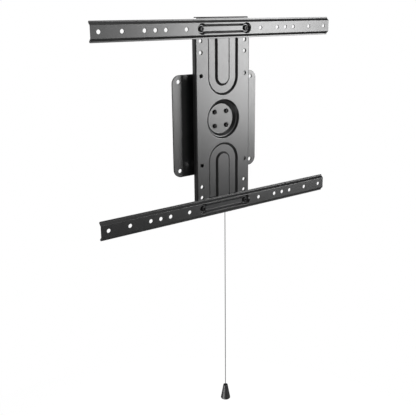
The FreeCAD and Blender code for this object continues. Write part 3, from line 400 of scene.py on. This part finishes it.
def skin(name, stacks, body, slot, replaces=None):
    """Make one piece of stacks of rings; a stack is capped, or closed on itself."""
    points, faces = [], []
    for stack, closed in stacks:
        count = len(stack[0])
        first = len(points)
        points += [point for level in stack for point in level]
        for level in range(len(stack) if closed else len(stack) - 1):
            here = first + level * count
            there = first + (level + 1) % len(stack) * count
            for step in range(count):
                following = (step + 1) % count
                faces.append((here + step, here + following, there + following, there + step))
        if not closed:
            faces.append(range(first + count - 1, first - 1, -1))
            faces.append(range(first + (len(stack) - 1) * count, len(points)))
    mesh = bpy.data.meshes.new(name)
    mesh.from_pydata(points, [], [tuple(face) for face in faces])
    builder = bmesh.new()
    builder.from_mesh(mesh)
    bmesh.ops.recalc_face_normals(builder, faces=builder.faces)
    builder.to_mesh(mesh)
    builder.free()
    mesh.shade_smooth()
    mesh.set_sharp_from_angle(angle=math.radians(SHARP_ANGLE))
    piece = add_to_scene(name, mesh)
    shade = piece.modifiers.new("shade", "WEIGHTED_NORMAL")
    shade.keep_sharp = True
    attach(piece, body)
    if replaces:
        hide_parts(replaces)
    finish_piece(piece, slot)
    return piece


def button_screw(seat, head, height, shank, length, flats, depth):
    """A domed screw with a hexagon socket, from its tail to the socket's floor."""
    point = shank * 0.2
    profile = [(-length, shank - point), (-length + point, shank), (0, shank), (0, head)]
    for step in range(DOME_STEPS + 1):
        turn = math.radians(DOME_ANGLE) * step / DOME_STEPS
        rise = height * (DOME_FOOT + DOME_RISE * math.sin(turn))
        profile.append((rise, head * math.cos(turn)))
    rim = flats / 2 * SOCKET_RIM
    socket = height - SOCKET_CHAMFER
    profile += [(height, rim), (socket, rim, flats), (height - depth, rim, flats)]
    return rings(seat, FROM_WALL, profile), False


def hexagon_nut(seat, flats, bore, height):
    """A nut with turned corners; its seat is the face that the bolt pulls on."""
    corner, face, turned = flats * NUT_CORNER, flats * NUT_FACE, flats * NUT_TURNED
    profile = [
        (0, bore), (0, face, flats), (turned, corner, flats),
        (height - turned, corner, flats), (height, face, flats), (height, bore),
    ]
    return rings(seat, -FROM_WALL, profile), True


def tube(path, radius, sides=10, closed=False):
    """A round wire along a path, without twist."""
    stack = []
    normal = None
    for index, point in enumerate(path):
        before = path[index - 1] if index or closed else point
        after = path[(index + 1) % len(path)] if index + 1 < len(path) or closed else point
        heading = (after - before).normalized()
        if normal is None:
            normal = heading.orthogonal()
        else:
            normal = normal - heading * normal.dot(heading)
        normal.normalize()
        other = heading.cross(normal)
        turns = [step * math.tau / sides for step in range(sides)]
        stack.append([point + (normal * math.cos(t) + other * math.sin(t)) * radius for t in turns])
    return stack, closed


def loop_angles(start, sweep):
    """The angles of the steps round an end loop of the spring."""
    return [math.radians(start + sweep * step / (LOOP_STEPS - 1)) for step in range(LOOP_STEPS)]


def coil_spring():
    """The tension spring, which is shorter when the cord is let go."""
    middle = SPRING_MIDDLE
    top = PIN_HEIGHT - PIN_LOOP - LOOP_GAP
    bottom = HOOK_HEIGHT + HOOK_LOOP + LOOP_GAP
    path = []
    for angle in loop_angles(-75, 345):
        across, along = math.cos(angle) * PIN_LOOP, math.sin(angle) * PIN_LOOP
        path.append(middle + Vector((across, 0, PIN_HEIGHT + along)))
    for step in range(COIL_TURNS * COIL_STEPS + 1):
        share = step / (COIL_TURNS * COIL_STEPS)
        from_end = min(share, 1 - share) * COIL_TURNS
        opening = min(1, from_end / CLOSING_TURNS)
        radius = COIL_RADIUS * math.sin(opening * math.pi / 2)
        angle = math.tau * share * COIL_TURNS
        height = top + (bottom - top) * share
        path.append(middle + Vector((math.cos(angle) * radius, math.sin(angle) * radius, height)))
    for angle in loop_angles(90, 320):
        across, along = math.cos(angle) * HOOK_LOOP, math.sin(angle) * HOOK_LOOP
        path.append(middle + Vector((0, across, HOOK_HEIGHT + along)))
    wire = tube(path, WIRE_RADIUS)
    spring = skin("coil_spring", [wire], "wall", "spring_steel", "latch_spring")
    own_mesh(spring)


def knotted_end():
    """The cord's overhand knot inside the knob."""
    middle = Vector((CORD_END[0], CORD_END[1], KNOT_HEIGHT))
    path = []
    for step in range(KNOT_STEPS):
        t = step * math.tau / KNOT_STEPS
        path.append(middle + Vector((
            KNOT_REACH * (math.sin(t) + 2 * math.sin(2 * t)) / 3,
            KNOT_REACH * (math.cos(t) - 2 * math.cos(2 * t)) / 3,
            KNOT_RISE * math.sin(3 * t))))
    knot = tube(path, CORD_DIAMETER / 2, closed=True)
    return skin("knotted_end", [knot], "latch", "braided_cord", "cord_knot")


def bell_knob():
    """The pull knob: a hollow cone with rounded edges and a bore for the cord."""
    top = Vector((CORD_END[0], CORD_END[1], KNOB_TOP))
    shell = rings(top, -UP, KNOB_PROFILE)
    return skin("bell_knob", [(shell, True)], "latch", "knob_plastic", "pull_knob")


def fasteners():
    """Screws, bolts and nuts of the turning half."""
    offsets = (-HUB_SCREW_OFFSET, HUB_SCREW_OFFSET)
    hub = [Vector((x, DISH_FLOOR, AXIS_HEIGHT + z)) for x in offsets for z in offsets]
    screws = [button_screw(seat, **HUB_SCREW) for seat in hub]
    skin("domed_hub_screws", screws, "rotor", "black_steel", "hub_screws")
    for rail, offset in RAIL_OFFSETS.items():
        height = AXIS_HEIGHT + offset
        seats = [Vector((x, RAIL_BOLT_SEAT, height)) for x in BOLT_COLUMNS]
        bolts = [button_screw(seat, **RAIL_BOLT) for seat in seats]
        skin(f"domed_{rail}_bolts", bolts, "rotor", "black_steel", f"{rail}_bolts")
        seats = [Vector((x, SHEET_BACK, height)) for x in BOLT_COLUMNS]
        nuts = [hexagon_nut(seat, **RAIL_NUT) for seat in seats]
        skin(f"turned_{rail}_nuts", nuts, "rotor", "zinc_steel", f"{rail}_nuts")


def hole_collars():
    """Collars of the free screw holes, on the face plate's back."""
    places = [Vector((x, SHEET_BACK, AXIS_HEIGHT + z))
              for x in BOLT_COLUMNS for z in FREE_HOLE_OFFSETS]
    collars = [(rings(place, -FROM_WALL, COLLAR_PROFILE), True) for place in places]
    skin("hole_collars", collars, "rotor", "powder_coat")


knotted_end()
bell_knob()
coil_spring()
fasteners()
hole_collars()


def softbox(name, target, azimuth, elevation, distance, width, height, power):
    """An area lamp that faces the target."""
    data = bpy.data.lights.new(name, "AREA")
    data.shape = "RECTANGLE"
    data.size = width
    data.size_y = height
    data.energy = power
    lamp = add_to_scene(name, data)
    a, e = math.radians(azimuth), math.radians(elevation)
    way = Vector((math.sin(a) * math.cos(e), -math.cos(a) * math.cos(e), math.sin(e)))
    lamp.location = Vector(target) + way * distance
    lamp.rotation_euler = way.to_track_quat("Z", "Y").to_euler()


def add_world():
    """White for the camera, plain soft light for surfaces, and a dim studio for gloss."""
    world = bpy.data.worlds.new("studio")
    bpy.context.scene.world = world
    world.use_nodes = True
    tree = world.node_tree
    background = tree.nodes["Background"]
    path = tree.nodes.new("ShaderNodeLightPath")
    direction = tree.nodes.new("ShaderNodeTexCoord")
    parts = tree.nodes.new("ShaderNodeSeparateXYZ")
    tree.links.new(direction.outputs["Generated"], parts.inputs["Vector"])

    def combine(operation, first, second=0):
        node = tree.nodes.new("ShaderNodeMath")
        node.operation = operation
        for socket, source in zip(node.inputs, (first, second)):
            if isinstance(source, (int, float)):
                socket.default_value = source
            else:
                tree.links.new(source, socket)
        return node.outputs["Value"]

    def rise(source, span, low, high):
        """Go smoothly from low to high as the source goes over the span."""
        node = tree.nodes.new("ShaderNodeMapRange")
        node.interpolation_type = "SMOOTHSTEP"
        node.inputs["From Min"].default_value = span[0]
        node.inputs["From Max"].default_value = span[1]
        node.inputs["To Min"].default_value = low
        node.inputs["To Max"].default_value = high
        tree.links.new(source, node.inputs["Value"])
        return node.outputs["Result"]

    y, z = parts.outputs["Y"], parts.outputs["Z"]
    behind = combine("ADD", rise(y, BACK_SPAN, 0, BACK_GLOW),
                     rise(y, BACK_CENTRE_SPAN, 0, 1 - BACK_GLOW))
    level = rise(combine("ABSOLUTE", z), HORIZON_SPAN, 1, 0)
    ceiling = rise(z, CEILING_SPAN, STUDIO_DARK, CEILING_GLOW)
    studio = combine("ADD", combine("MULTIPLY", behind, level), ceiling)
    seen = combine("ADD", path.outputs["Is Camera Ray"], path.outputs["Is Transmission Ray"])
    white = combine("MULTIPLY", seen, 1 - WORLD_LIGHT)
    change = combine("SUBTRACT", studio, WORLD_LIGHT)
    gloss = combine("MULTIPLY", path.outputs["Is Glossy Ray"], change)
    strength = combine("ADD", combine("ADD", white, gloss), WORLD_LIGHT)
    tree.links.new(strength, background.inputs["Strength"])
    background.inputs["Color"].default_value = (1, 1, 1, 1)


def add_floor():
    """A plain floor far below the knob, lifted to white for the camera."""
    mesh = bpy.data.meshes.new("floor")
    builder = bmesh.new()
    bmesh.ops.create_circle(builder, cap_ends=True, segments=96, radius=FLOOR_RADIUS)
    builder.to_mesh(mesh)
    builder.free()
    floor = add_to_scene("floor", mesh)
    floor.location = (0, FLOOR_BACK, cad_low.z - FLOOR_DROP)
    material = bpy.data.materials.new("floor")
    material.use_nodes = True
    tree = material.node_tree
    surface = tree.nodes["Principled BSDF"]
    surface.inputs["Base Color"].default_value = (FLOOR_COLOUR, FLOOR_COLOUR, FLOOR_COLOUR, 1)
    surface.inputs["Roughness"].default_value = FLOOR_ROUGHNESS
    surface.inputs["Emission Color"].default_value = (1, 1, 1, 1)
    path = tree.nodes.new("ShaderNodeLightPath")
    lift = tree.nodes.new("ShaderNodeMath")
    lift.operation = "MULTIPLY"
    lift.inputs[1].default_value = FLOOR_WHITE
    tree.links.new(path.outputs["Is Camera Ray"], lift.inputs[0])
    tree.links.new(lift.outputs["Value"], surface.inputs["Emission Strength"])
    mesh.materials.append(material)


softbox("key", MOUNT, **KEY)
softbox("front", MOUNT, **FRONT)
softbox("low", CORD_END, **LOW)
add_world()
add_floor()
bpy.context.scene.view_settings.view_transform = "Standard"
